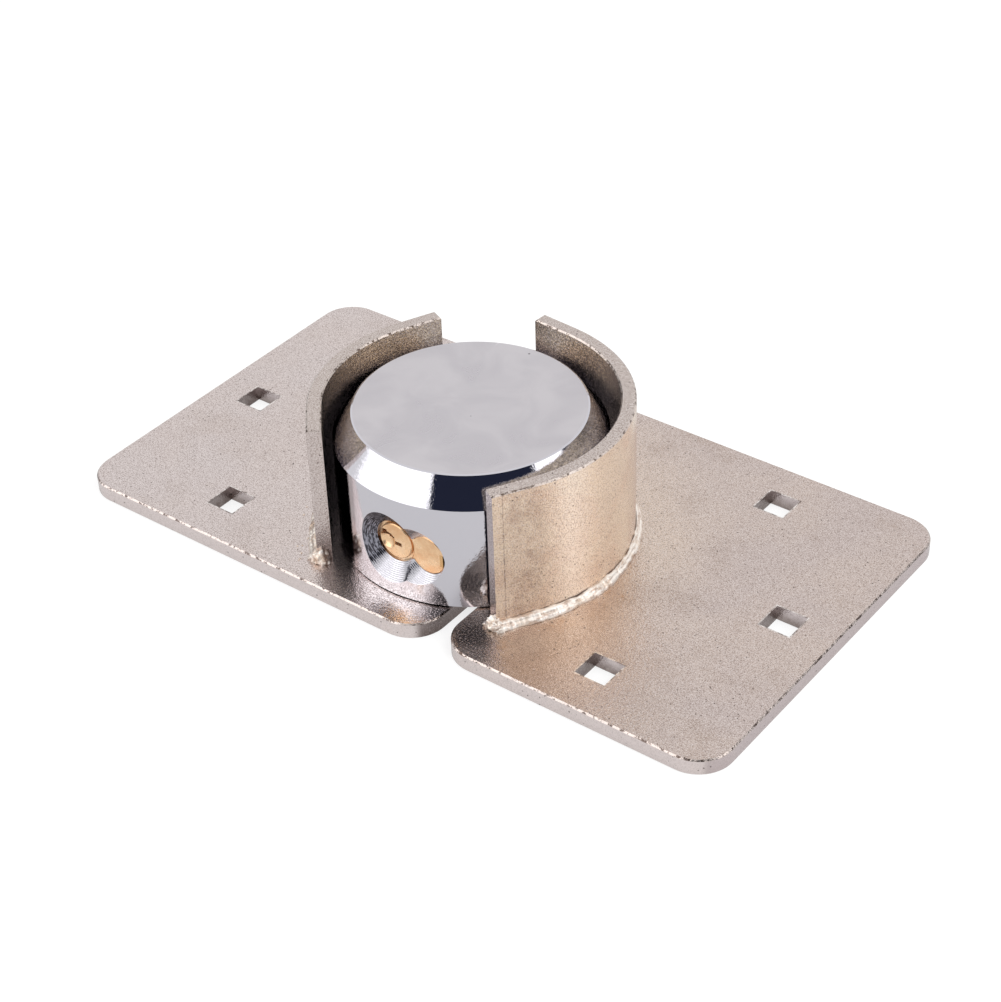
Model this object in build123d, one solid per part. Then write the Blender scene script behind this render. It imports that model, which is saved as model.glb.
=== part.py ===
from build123d import *
from math import acos, cos, pi, radians, sin, sqrt, tan
import os

# Hasp and round padlock. Two steel leaves carry a curved guard each, and an upright eye each.
# A round lock sits over both eyes, and a bolt inside the lock runs through them.
# Sizes in millimetres. Origin: middle of the hasp's outline, on the face that meets the door.
# +X runs along the hasp to the right leaf, +Y away from the key side, +Z out from the door.

# Hasp leaves
overall_length = 209.0
leaf_width = 115.0
leaf_thickness = 4.4
leaf_gap = 5.2
gap_middle_x = 19.4
step_behind_eye = 2.4
leaf_corner_radius = 10.0
leaf_step_radius = 2.0
leaf_edge_break = 0.4

# Square holes for carriage bolts
square_hole = 9.0
end_hole_inset = 15.0
corner_hole_inset = 42.5
corner_hole_offset = 42.0

# Lock outline
lock_diameter = 73.0
lock_height = 38.3
lock_middle_y = -12.0
lock_seat_gap = 0.25
slope_width = 5.4
slope_height = 7.5
top_edge_break = 0.3
foot_chamfer = 0.3

# Guards
guard_thickness = 4.0
guard_height = 41.2
guard_end_straight = 11.5
guard_edge_break = 0.4
left_guard_gap = 2.1
left_guard_angles = (155.5, 220.7)
right_guard_gap = 2.8
right_guard_angles = (-30.6, 85.6)

# Weld beads along the outer foot of the guards
weld_leg = 2.6
weld_belly = 0.71
weld_blob_radius = 3.2
weld_blob_top = 1.5
weld_blob_height = 2.9

# Eyes
eye_thickness = 4.0
eye_width = 18.0
eye_tenon_width = 13.0
eye_hole_clearance = 0.5
tenon_fit = 0.1

# Key cylinder, a figure of eight lying on its side: the plug's lobe and the pins' lobe
key_height = 14.4
cylinder_face_depth = 3.6
cylinder_length = 22.3
cylinder_fit = 0.05
running_clearance = 0.05
plug_diameter = 10.4
plug_wall = 0.75
plug_wall_setback = 1.0
face_edge_break = 0.25
pin_lobe_diameter = 11.0
lobe_spacing = 10.5
neck_width = 6.4
countersink_growth = 1.3
web_thickness = 1.6
tail_diameter = 6.0
tail_flats = 4.4
keyway_depth = 7.2
keyway_widths = (2.2, 1.3, 1.1)
keyway_step = 1.0
keyway_rise = 1.4
key_bowl_radius = 3.4
key_bowl_depth = 1.1
key_bowl_offset = 2.6
key_bowl_drop = 0.5

# Pin stacks, held at the line between plug and housing as the right key holds them
key_pin_lengths = (3.4, 4.4, 3.0, 4.8, 3.8)
pin_diameter = 2.4
first_pin_setback = 3.4
last_pin_setback = 2.45
pin_end_round = 0.5
driver_pin_length = 3.6
spring_turns = 5
spring_steps = 8
spring_wire = 0.32
spring_end_gap = 0.1
chamber_cover_thickness = 1.0
chamber_cover_width = 3.6

# Gear drive: a pinion on the plug's tail moves the rack that carries the bolt
gear_module = 1.0
pinion_teeth = 13
pressure_angle = 25.0
pinion_addendum = 1.0
rack_addendum = 0.9
tooth_root_gap = 0.25
tooth_thinning = 0.2
pinion_setback = 1.2
pinion_width = 3.7
key_turn = 180.0
clip_gap = 0.15
clip_thickness = 0.7
clip_outer_diameter = 9.0
clip_groove_diameter = 4.8
clip_opening = 3.6
pinion_screw_head_diameter = 7.0
pinion_screw_head_height = 1.2
pinion_screw_diameter = 2.5
pinion_screw_length = 5.0
pinion_screw_slot = 0.8
pinion_screw_slot_depth = 0.6

# Bolt and the rack that carries it
bolt_diameter = 10.0
bolt_length = 34.4
bolt_grip = 4.4
bolt_chamfer = 1.0
bolt_to_leg_gap = 2.25
rack_back_height = 2.3
rack_end_margin = 3.0
leg_width = 7.0
leg_thickness = 4.1
leg_rise = 3.2
peg_diameter = 5.0
peg_length = 5.6
peg_from_tip = 25.4
peg_hole_extra = 0.5
moving_gap = 0.35

# Inside of the lock body
slot_gap = 0.8
bore_plug_length = 11.5

# Base cover
base_rim = 4.5
base_thickness = 4.0
base_fit = 0.1
base_screw_inset = 5.0
base_screw_angles = (75.0, 150.0, 225.0, 315.0)
base_screw_diameter = 4.0
base_screw_head = 7.6
base_screw_length = 8.0
base_screw_hole_extra = 1.0
socket_size = 2.5
socket_depth = 1.4

# Grub screw that holds the key cylinder in the body
grub_diameter = 4.0
grub_setback = 11.0
grub_bite = 1.0
screw_fit = 0.03

# Places worked out from the sizes above
half_length = overall_length / 2
left_inner_x = gap_middle_x - leaf_gap / 2
right_inner_x = gap_middle_x + leaf_gap / 2
left_eye_x = left_inner_x - eye_thickness
right_eye_x = right_inner_x
lock_radius = lock_diameter / 2
base_radius = lock_radius - base_rim
lock_bottom = leaf_thickness + lock_seat_gap
lock_top = lock_bottom + lock_height
base_top = lock_bottom + base_thickness
key_z = lock_bottom + key_height
cylinder_front = lock_middle_y - lock_radius + cylinder_face_depth
cylinder_back = cylinder_front + cylinder_length
plug_radius = plug_diameter / 2
plug_bore_radius = plug_radius + running_clearance
plug_lobe_radius = plug_bore_radius + plug_wall
pin_lobe_radius = pin_lobe_diameter / 2
barrel_back = cylinder_back - web_thickness - running_clearance
first_pin_y = cylinder_front + first_pin_setback
last_pin_y = barrel_back - last_pin_setback
pin_spacing = (last_pin_y - first_pin_y) / (len(key_pin_lengths) - 1)
tail_radius = tail_diameter / 2
pin_radius = pin_diameter / 2
pin_hole_radius = pin_radius + running_clearance
cover_groove_x = lobe_spacing + pin_lobe_radius - chamber_cover_thickness - pin_end_round
pinion_radius = gear_module * pinion_teeth / 2
pinion_tip_radius = pinion_radius + pinion_addendum
pinion_root_radius = pinion_radius - rack_addendum - tooth_root_gap
pinion_front = cylinder_back + pinion_setback
pinion_back = pinion_front + pinion_width
tooth_pitch = pi * gear_module
tooth_half_width = (tooth_pitch / 2 - tooth_thinning) / 2
rack_pitch_z = key_z - pinion_radius
rack_tip_z = rack_pitch_z + rack_addendum
rack_root_z = rack_pitch_z - pinion_addendum - tooth_root_gap
rack_bottom = rack_root_z - rack_back_height
bolt_travel = radians(key_turn) * pinion_radius
rack_left = -rack_end_margin
rack_right = bolt_travel + rack_end_margin
bolt_radius = bolt_diameter / 2
bolt_bore_radius = bolt_radius + running_clearance
leg_front = pinion_back + moving_gap
leg_back = leg_front + leg_thickness
leg_top = key_z + leg_rise
bolt_middle_y = leg_back + bolt_to_leg_gap + bolt_radius
step_front_y = bolt_middle_y + eye_width / 2 + step_behind_eye
step_back_y = step_front_y + leaf_gap
slot_left = left_eye_x - slot_gap
slot_right = right_eye_x + eye_thickness + slot_gap
slot_front = bolt_middle_y - eye_width / 2 - slot_gap
slot_back = bolt_middle_y + eye_width / 2 + slot_gap
slot_top = key_z + eye_width / 2 + slot_gap
bolt_tip = slot_right + bolt_grip
bolt_tail = bolt_tip - bolt_length
peg_x = bolt_tip - peg_from_tip
peg_radius = peg_diameter / 2


def block(x_range, y_range, z_range):
    ranges = (x_range, y_range, z_range)
    sizes = [high - low for low, high in ranges]
    middle = [(low + high) / 2 for low, high in ranges]
    return Pos(*middle) * Box(*sizes)


def rod_x(radius, x_low, x_high, y, z):
    return Pos((x_low + x_high) / 2, y, z) * Rot(0, 90, 0) * Cylinder(radius, x_high - x_low)


def rod_y(radius, y_low, y_high, x=0.0, z=key_z):
    return Pos(x, (y_low + y_high) / 2, z) * Rot(-90, 0, 0) * Cylinder(radius, y_high - y_low)


def rod_z(radius, z_low, z_high, x, y):
    return Pos(x, y, (z_low + z_high) / 2) * Cylinder(radius, z_high - z_low)


# Hasp leaves

def square_hole_places(side):
    corner_x = side * (half_length - corner_hole_inset)
    end_x = side * (half_length - end_hole_inset)
    return ((corner_x, -corner_hole_offset), (end_x, 0.0), (corner_x, corner_hole_offset))


def tenon_block(x_low, growth):
    half_width = eye_tenon_width / 2 + growth
    y_range = (bolt_middle_y - half_width, bolt_middle_y + half_width)
    return block((x_low - growth, x_low + eye_thickness + growth), y_range, (0, leaf_thickness))


def leaf_outline(body_x, tongue_x, tongue_y):
    """A plate with a tongue that passes under the lock. Only its outer corners are large."""
    edge_y = leaf_width / 2
    body = Pos(sum(body_x) / 2, 0) * Rectangle(body_x[1] - body_x[0], leaf_width)
    tongue_size = (tongue_x[1] - tongue_x[0], tongue_y[1] - tongue_y[0])
    outline = body + Pos(sum(tongue_x) / 2, sum(tongue_y) / 2) * Rectangle(*tongue_size)
    outer = [corner for corner in outline.vertices() if abs(corner.Y) > edge_y - leaf_edge_break]
    outline = fillet(outer, leaf_corner_radius)
    inner = [corner for corner in outline.vertices() if min(abs(corner.Y - y) for y in tongue_y) < leaf_edge_break]
    inner = [corner for corner in inner if abs(corner.Y) < edge_y - leaf_corner_radius]
    return fillet(inner, leaf_step_radius)


def make_leaf(side, body_x, tongue_x, tongue_y, eye_x):
    leaf = extrude(leaf_outline(body_x, tongue_x, tongue_y), leaf_thickness)
    leaf = chamfer(leaf.edges().group_by(Axis.Z)[-1], leaf_edge_break)
    for x, y in square_hole_places(side):
        leaf -= Pos(x, y, leaf_thickness / 2) * Box(square_hole, square_hole, leaf_thickness)
    return leaf - tenon_block(eye_x, tenon_fit)


def make_left_leaf():
    """Its tongue passes in front of the step, to the gap on the right."""
    body_x = (-half_length, -right_inner_x)
    return make_leaf(-1, body_x, (-right_inner_x, left_inner_x), (-leaf_width / 2, step_front_y), left_eye_x)


def make_right_leaf():
    """Its tongue passes behind the step and carries the far end of its guard."""
    body_x = (right_inner_x, half_length)
    return make_leaf(1, body_x, (-left_inner_x, right_inner_x), (step_back_y, leaf_width / 2), right_eye_x)


def make_eye(x_low):
    half_width = eye_width / 2
    x_range = (x_low, x_low + eye_thickness)
    y_range = (bolt_middle_y - half_width, bolt_middle_y + half_width)
    eye = block(x_range, y_range, (leaf_thickness, key_z))
    eye += rod_x(half_width, *x_range, bolt_middle_y, key_z)
    eye += tenon_block(x_low, 0)
    return eye - rod_x(bolt_radius + eye_hole_clearance, *x_range, bolt_middle_y, key_z)


# Guards

def guard_line(radius, angles):
    """A strip's line seen from above: a straight end, an arc about the lock, a straight end."""
    start, end = angles
    arc = CenterArc((0, lock_middle_y), radius, start, end - start)
    first = Line(arc @ 0 - guard_end_straight * (arc % 0), arc @ 0)
    last = Line(arc @ 1, arc @ 1 + guard_end_straight * (arc % 1))
    return first, arc, last


def make_guard(gap, angles):
    inner_radius = lock_radius + gap
    inner = guard_line(inner_radius, angles)
    outer = guard_line(inner_radius + guard_thickness, angles)
    caps = [Line(inner[0] @ 0, outer[0] @ 0), Line(inner[2] @ 1, outer[2] @ 1)]
    strip = make_face([*inner, *outer, *caps])
    guard = extrude(Pos(0, 0, leaf_thickness) * strip, guard_height)
    return chamfer(guard.edges().group_by(Axis.Z)[-1], guard_edge_break)


def make_weld(guard, gap, angles, front_end):
    """A bead along the guard's outer foot, with a blob where the welder stopped at the front."""
    foot = guard_line(lock_radius + gap + guard_thickness, angles)
    foot = [Pos(0, 0, leaf_thickness) * edge for edge in foot]
    along = foot[0] % 0
    outward = along.cross(Vector(0, 0, 1))
    stand = Plane(origin=foot[0] @ 0, x_dir=outward, z_dir=along * -1)
    belly = weld_leg * weld_belly
    section = make_face(Polyline((0, 0), (weld_leg, 0), (belly, belly), (0, weld_leg), close=True))
    bead = sweep(stand * section, path=Wire(foot))
    blob_place = foot[0] @ 0 if front_end == "first" else foot[2] @ 1
    blob = Pos(0, 0, weld_blob_height / 2) * Cone(weld_blob_radius, weld_blob_top, weld_blob_height)
    return bead + (Pos(*blob_place) * blob - guard)


# Lock body

def lobes(growth, y_low, y_high):
    """The key cylinder's outline, grown by a clearance, between two stations along Y."""
    half_neck = neck_width / 2 + growth
    shape = rod_y(plug_lobe_radius + growth, y_low, y_high)
    shape += rod_y(pin_lobe_radius + growth, y_low, y_high, x=lobe_spacing)
    return shape + block((0, lobe_spacing), (y_low, y_high), (key_z - half_neck, key_z + half_neck))


def countersink(radius, x):
    """A cone that opens from the cylinder's face out through the side of the lock."""
    depth = cylinder_face_depth + foot_chamfer
    mouth = radius + countersink_growth * depth
    return Pos(x, cylinder_front - depth / 2, key_z) * Rot(90, 0, 0) * Cone(radius, mouth, depth)


def make_blank():
    """The turned body before milling: straight side, steep slope, flat top."""
    section = Polyline(
        (0, lock_bottom),
        (lock_radius - foot_chamfer, lock_bottom),
        (lock_radius, lock_bottom + foot_chamfer),
        (lock_radius, lock_top - slope_height),
        (lock_radius - slope_width, lock_top),
        (0, lock_top),
        close=True,
    )
    blank = revolve(Plane.XZ * make_face(section), Axis.Z)
    blank = chamfer(blank.edges().group_by(Axis.Z)[-1], top_edge_break)
    return Pos(0, lock_middle_y, 0) * blank


def make_chamber():
    """Room for the rack, the pinion and the leg, milled from below."""
    floor = base_top
    rack_y = (pinion_front - moving_gap, pinion_back + moving_gap)
    rack_x = (rack_left - bolt_travel - moving_gap, rack_right + moving_gap)
    leg_x = (peg_x - leg_width / 2 - bolt_travel - moving_gap, peg_x + leg_width / 2 + moving_gap)
    well = pinion_tip_radius + moving_gap
    chamber = block(rack_x, rack_y, (floor, rack_tip_z + moving_gap))
    chamber += block((-well, well), rack_y, (floor, key_z))
    chamber += rod_y(well, *rack_y)
    chamber += block(leg_x, (rack_y[0], leg_back + moving_gap), (floor, rack_root_z + moving_gap))
    chamber += block(leg_x, (leg_front - moving_gap, leg_back + moving_gap), (floor, leg_top + moving_gap))
    chamber += rod_y(clip_outer_diameter / 2 + moving_gap, cylinder_back, rack_y[0])
    window = peg_radius + moving_gap
    window_x = (peg_x - bolt_travel - window, peg_x + window)
    return chamber + block(window_x, (leg_back, bolt_middle_y), (key_z - window, key_z + window))


def make_lock_body():
    front = lock_middle_y - lock_radius - foot_chamfer
    body = make_blank()
    body -= lobes(cylinder_fit, front, cylinder_back)
    body -= countersink(plug_lobe_radius + cylinder_fit, 0.0)
    body -= countersink(pin_lobe_radius + cylinder_fit, lobe_spacing)
    body -= make_chamber()
    body -= rod_x(bolt_bore_radius, -lock_radius, bolt_tip + moving_gap, bolt_middle_y, key_z)
    body -= block((slot_left, slot_right), (slot_front, slot_back), (lock_bottom, slot_top))
    body -= rod_z(base_radius, lock_bottom, base_top, 0, lock_middle_y)
    base_hole_top = lock_bottom + base_screw_length + base_screw_hole_extra
    for x, y in base_screw_places():
        body -= rod_z(base_screw_diameter / 2 + screw_fit, base_top, base_hole_top, x, y)
    grub_top = key_z - pin_lobe_radius + grub_bite
    return body - rod_z(grub_diameter / 2 + screw_fit, base_top, grub_top, lobe_spacing, grub_y())


def make_bore_plug():
    plug = rod_x(bolt_bore_radius - screw_fit, -lock_radius, bore_plug_length - lock_radius, bolt_middle_y, key_z)
    return plug & rod_z(lock_radius, lock_bottom, lock_top, 0, lock_middle_y)


# Base cover and its screws

def base_screw_places():
    radius = base_radius - base_screw_inset
    for angle in base_screw_angles:
        yield radius * cos(radians(angle)), lock_middle_y + radius * sin(radians(angle))


def screw_head(growth, x, y):
    """A countersunk head, flush with the cover's outer face."""
    wide = base_screw_head / 2 + growth
    narrow = base_screw_diameter / 2 + growth
    depth = wide - narrow
    return Pos(x, y, lock_bottom + depth / 2) * Cone(wide, narrow, depth)


def make_base_cover():
    cover = rod_z(base_radius - base_fit, lock_bottom, base_top, 0, lock_middle_y)
    cover -= block((slot_left, slot_right), (slot_front, slot_back), (lock_bottom, base_top))
    for x, y in base_screw_places():
        cover -= rod_z(base_screw_diameter / 2 + base_fit, lock_bottom, base_top, x, y)
        cover -= screw_head(base_fit, x, y)
    return cover


def hex_socket(x, y, z):
    return Pos(x, y, z) * extrude(RegularPolygon(socket_size / sqrt(3), 6), socket_depth)


def make_base_screw(x, y):
    shank = rod_z(base_screw_diameter / 2, lock_bottom, lock_bottom + base_screw_length, x, y)
    return screw_head(0, x, y) + shank - hex_socket(x, y, lock_bottom)


# Key cylinder

def grub_y():
    return cylinder_front + grub_setback


def pin_stations():
    for index in range(len(key_pin_lengths)):
        yield first_pin_y + index * pin_spacing


def cover_groove(growth, depth):
    half_width = chamber_cover_width / 2 + growth
    x_range = (cover_groove_x, cover_groove_x + depth)
    return block(x_range, (cylinder_front, cylinder_back), (key_z - half_width, key_z + half_width))


def make_cylinder_housing():
    housing = lobes(0, cylinder_front, cylinder_back)
    housing -= rod_y(plug_lobe_radius, cylinder_front, cylinder_front + plug_wall_setback)
    housing = chamfer(housing.edges().group_by(Axis.Y)[0], face_edge_break)
    housing -= rod_y(plug_bore_radius, cylinder_front, cylinder_back - web_thickness)
    housing -= rod_y(tail_radius + running_clearance, cylinder_front, cylinder_back)
    for y in pin_stations():
        housing -= rod_x(pin_hole_radius, 0, cover_groove_x, y, key_z)
    housing -= cover_groove(0, pin_lobe_radius)
    grub_low = key_z - pin_lobe_radius
    return housing - rod_z(grub_diameter / 2 + screw_fit, grub_low, grub_low + grub_bite, lobe_spacing, grub_y())


def make_chamber_cover():
    return cover_groove(-screw_fit, chamber_cover_thickness)


def make_grub_screw():
    top = key_z - pin_lobe_radius + grub_bite - screw_fit
    low = base_top + moving_gap
    screw = rod_z(grub_diameter / 2, low, top, lobe_spacing, grub_y())
    screw = chamfer(screw.edges().group_by(Axis.Z)[-1], grub_bite / 2)
    return screw - hex_socket(lobe_spacing, grub_y(), low)


def keyway_steps():
    """The slot for the key: wide at its open end, then down in two narrow steps."""
    step_length = keyway_depth / len(keyway_widths)
    for index, width in enumerate(keyway_widths):
        x_low = -plug_radius + index * step_length
        middle_z = key_z + keyway_rise - index * keyway_step
        z_range = (middle_z - width / 2, middle_z + width / 2)
        yield block((x_low, x_low + step_length), (cylinder_front, barrel_back - web_thickness), z_range)


def make_key_plug():
    tail_end = pinion_back - pinion_screw_head_height - running_clearance
    barrel = rod_y(plug_radius, cylinder_front, barrel_back)
    barrel = chamfer(barrel.edges().group_by(Axis.Y)[0], face_edge_break)
    tail = rod_y(tail_radius, barrel_back, tail_end)
    groove_y = (cylinder_back + clip_gap / 2, cylinder_back + clip_gap * 1.5 + clip_thickness)
    groove = rod_y(tail_radius, *groove_y) - rod_y(clip_groove_diameter / 2, *groove_y)
    flats = rod_y(tail_radius, pinion_front, tail_end)
    flats -= block((-tail_flats / 2, tail_flats / 2), (pinion_front, tail_end), (0, lock_top))
    bowl_middle = cylinder_front - key_bowl_radius + key_bowl_depth
    plug = barrel + tail - groove - flats
    for step in keyway_steps():
        plug -= step
    plug -= Pos(-key_bowl_offset, bowl_middle, key_z - key_bowl_drop) * Sphere(key_bowl_radius)
    plug -= rod_y(pinion_screw_diameter / 2, tail_end - pinion_screw_length, tail_end)
    for y in pin_stations():
        plug -= rod_x(pin_hole_radius, 0, plug_radius, y, key_z)
    return plug


def make_pin(x_low, x_high, y):
    pin = rod_x(pin_radius, x_low, x_high, y, key_z)
    return chamfer(pin.edges().filter_by(GeomType.CIRCLE), pin_end_round)


def make_spring(y):
    """A coil spring along X, its wire bent in short straight steps."""
    low = plug_bore_radius + 2 * running_clearance + driver_pin_length + spring_end_gap + spring_wire / 2
    high = cover_groove_x - spring_end_gap - spring_wire / 2
    coil_radius = pin_radius - spring_wire
    steps = spring_turns * spring_steps
    points = []
    for step in range(steps + 1):
        angle = 2 * pi * step / spring_steps
        x = low + (high - low) * step / steps
        points.append((x, y + coil_radius * cos(angle), key_z + coil_radius * sin(angle)))
    path = Polyline(*points)
    start = Plane(path @ 0, z_dir=path % 0)
    return sweep(start * RegularPolygon(spring_wire / 2, 6), path=path, transition=Transition.RIGHT)


def make_clip():
    """An open ring in the tail's groove, which keeps the plug from being pulled out."""
    y_range = (cylinder_back + clip_gap, cylinder_back + clip_gap + clip_thickness)
    ring = rod_y(clip_outer_diameter / 2, *y_range) - rod_y(clip_groove_diameter / 2, *y_range)
    half_opening = clip_opening / 2
    return ring - block((-half_opening, half_opening), y_range, (key_z, lock_top))


# Gear drive

def involute(angle):
    return tan(angle) - angle


def tooth_outline():
    """One pinion tooth on the X axis: straight below the base circle, involute above it."""
    pressure = radians(pressure_angle)
    base_radius = pinion_radius * cos(pressure)
    steps = 4
    radii = [base_radius + (pinion_tip_radius - base_radius) * step / steps for step in range(steps + 1)]
    half_angles = []
    for radius in radii:
        rolled = involute(acos(base_radius / radius))
        half_angles.append(tooth_half_width / pinion_radius + involute(pressure) - rolled)
    flank = [(radius * cos(a), radius * sin(a)) for radius, a in zip(radii, half_angles)]
    inside = pinion_root_radius * cos(half_angles[0]) / 2
    foot = (inside, inside * tan(half_angles[0]))
    upper = [foot] + flank
    lower = [(x, -y) for x, y in reversed(upper)]
    return make_face(Polyline(*upper, *lower, close=True))


def make_pinion():
    profile = Circle(pinion_root_radius)
    for index in range(pinion_teeth):
        profile += Rot(0, 0, -90 + (index + 0.5) * 360 / pinion_teeth) * tooth_outline()
    bore = Circle(tail_radius + running_clearance)
    bore &= Rectangle(tail_flats + 2 * running_clearance, 2 * tail_diameter)
    pinion = Pos(0, pinion_back, key_z) * Rot(90, 0, 0) * extrude(profile - bore, pinion_width)
    head_front = pinion_back - pinion_screw_head_height - running_clearance
    return pinion - rod_y(pinion_screw_head_diameter / 2 + running_clearance, head_front, pinion_back)


def make_pinion_screw():
    head_front = pinion_back - pinion_screw_head_height
    head = rod_y(pinion_screw_head_diameter / 2, head_front, pinion_back)
    shank = rod_y(pinion_screw_diameter / 2 - screw_fit, head_front - pinion_screw_length + moving_gap, head_front)
    slot_x = (-pinion_screw_head_diameter, pinion_screw_head_diameter)
    slot_z = (key_z - pinion_screw_slot / 2, key_z + pinion_screw_slot / 2)
    return head + shank - block(slot_x, (pinion_back - pinion_screw_slot_depth, pinion_back), slot_z)


def make_rack():
    bar = [(rack_left, rack_bottom), (rack_left, rack_root_z)]
    slope = tan(radians(pressure_angle))
    tip_half = tooth_half_width - rack_addendum * slope
    root_half = tooth_half_width + (rack_pitch_z - rack_root_z) * slope
    for index in range(int(rack_right / tooth_pitch) + 1):
        middle = index * tooth_pitch
        bar += [(middle - root_half, rack_root_z), (middle - tip_half, rack_tip_z)]
        bar += [(middle + tip_half, rack_tip_z), (middle + root_half, rack_root_z)]
    bar += [(rack_right, rack_root_z), (rack_right, rack_bottom)]
    profile = make_face(Polyline(*bar, close=True))
    rack = Pos(0, pinion_back, 0) * Rot(90, 0, 0) * extrude(profile, pinion_width)
    leg_x = (peg_x - leg_width / 2, peg_x + leg_width / 2)
    rack += block(leg_x, (pinion_front, leg_back), (rack_bottom, rack_root_z))
    rack += block(leg_x, (leg_front, leg_back), (rack_bottom, leg_top))
    return rack + rod_y(peg_radius, leg_back, leg_back + peg_length, x=peg_x)


def make_bolt():
    bolt = rod_x(bolt_radius, bolt_tail, bolt_tip, bolt_middle_y, key_z)
    bolt = chamfer(bolt.edges().filter_by(GeomType.CIRCLE), bolt_chamfer)
    hole_end = leg_back + peg_length + peg_hole_extra
    return bolt - rod_y(peg_radius + running_clearance, bolt_middle_y - bolt_radius, hole_end, x=peg_x)


def main():
    left_guard = make_guard(left_guard_gap, left_guard_angles)
    right_guard = make_guard(right_guard_gap, right_guard_angles)
    pieces = {
        "left_leaf": make_left_leaf(),
        "right_leaf": make_right_leaf(),
        "left_guard": left_guard,
        "right_guard": right_guard,
        "left_guard_weld": make_weld(left_guard, left_guard_gap, left_guard_angles, "last"),
        "right_guard_weld": make_weld(right_guard, right_guard_gap, right_guard_angles, "first"),
        "left_eye": make_eye(left_eye_x),
        "right_eye": make_eye(right_eye_x),
        "lock_body": make_lock_body(),
        "bore_plug": make_bore_plug(),
        "base_cover": make_base_cover(),
        "cylinder_housing": make_cylinder_housing(),
        "chamber_cover": make_chamber_cover(),
        "cylinder_grub_screw": make_grub_screw(),
        "key_plug": make_key_plug(),
        "plug_clip": make_clip(),
        "drive_pinion": make_pinion(),
        "pinion_screw": make_pinion_screw(),
        "bolt_rack": make_rack(),
        "lock_bolt": make_bolt(),
    }
    for index, (x, y) in enumerate(base_screw_places(), start=1):
        pieces[f"base_screw_{index}"] = make_base_screw(x, y)
    shear_line = plug_radius - running_clearance
    driver_x = plug_bore_radius + 2 * running_clearance
    for index, (y, length) in enumerate(zip(pin_stations(), key_pin_lengths), start=1):
        pieces[f"key_pin_{index}"] = make_pin(shear_line - length, shear_line, y)
        pieces[f"driver_pin_{index}"] = make_pin(driver_x, driver_x + driver_pin_length, y)
        pieces[f"pin_spring_{index}"] = make_spring(y)

    os.makedirs("parts", exist_ok=True)
    for name, piece in pieces.items():
        export_step(piece, f"parts/{name}.step")


main()
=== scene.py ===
import math
import random
from collections import namedtuple

import bmesh
import bpy
from mathutils import Matrix, Vector, noise


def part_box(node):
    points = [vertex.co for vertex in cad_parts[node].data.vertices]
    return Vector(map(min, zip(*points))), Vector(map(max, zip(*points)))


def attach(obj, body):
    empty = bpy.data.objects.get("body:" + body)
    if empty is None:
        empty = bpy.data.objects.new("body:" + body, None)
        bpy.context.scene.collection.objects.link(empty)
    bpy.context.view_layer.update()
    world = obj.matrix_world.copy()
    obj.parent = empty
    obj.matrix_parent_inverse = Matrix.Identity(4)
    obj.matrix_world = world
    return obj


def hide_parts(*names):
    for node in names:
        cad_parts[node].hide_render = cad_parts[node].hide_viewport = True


# Looks of the hasp and padlock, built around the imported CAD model.
# Lengths are in metres and in the CAD model's own frame. Angles are written in degrees unless said.

MM = 0.001

# Camera, from a fit of the model's corners and circles to the photograph
CAMERA_PLACE = Vector((305.5, -388.3, 367.9)) * MM
CAMERA_AZIMUTH = 38.244
CAMERA_ELEVATION = 36.319
CAMERA_ROLL = -2.02
FOCAL_PIXELS = 2239.13
IMAGE_WIDTH = 1001
SENSOR_WIDTH = 36.0

# Light and floor
WORLD_LEVEL = 0.92
SOFTBOX_LEVEL = 1.9
FLOOR_SIZE = 3.0
FLOOR_DROP = 0.2 * MM

# Places of the guards about the lock, as on the CAD model
GUARD_THICKNESS = 4.0 * MM
GUARD_END_STRAIGHT = 11.5 * MM
LEFT_GUARD_GAP = 2.1 * MM
LEFT_GUARD_ANGLES = (155.5, 220.7)
RIGHT_GUARD_GAP = 2.8 * MM
RIGHT_GUARD_ANGLES = (-30.6, 85.6)

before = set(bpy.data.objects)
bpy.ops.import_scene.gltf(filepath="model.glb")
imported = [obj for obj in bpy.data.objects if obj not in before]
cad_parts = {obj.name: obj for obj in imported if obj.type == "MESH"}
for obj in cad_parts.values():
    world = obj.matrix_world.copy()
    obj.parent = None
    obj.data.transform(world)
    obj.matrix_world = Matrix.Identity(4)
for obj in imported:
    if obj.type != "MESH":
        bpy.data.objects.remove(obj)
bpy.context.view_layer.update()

lock_low, lock_high = (Vector(corner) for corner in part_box("lock_body"))
plug_low, plug_high = (Vector(corner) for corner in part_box("key_plug"))
housing_high = Vector(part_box("cylinder_housing")[1])
leaf_reach = Vector(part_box("right_leaf")[1])
leaf_top = leaf_reach.z
guard_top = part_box("left_guard")[1][2]
lock_middle = (lock_low + lock_high) / 2
lock_radius = (lock_high.x - lock_low.x) / 2
key_z = (plug_low.z + plug_high.z) / 2
cylinder_front = plug_low.y
lobe_x = housing_high.x - (plug_high.z - plug_low.z) / 2


# Node helpers

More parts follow.
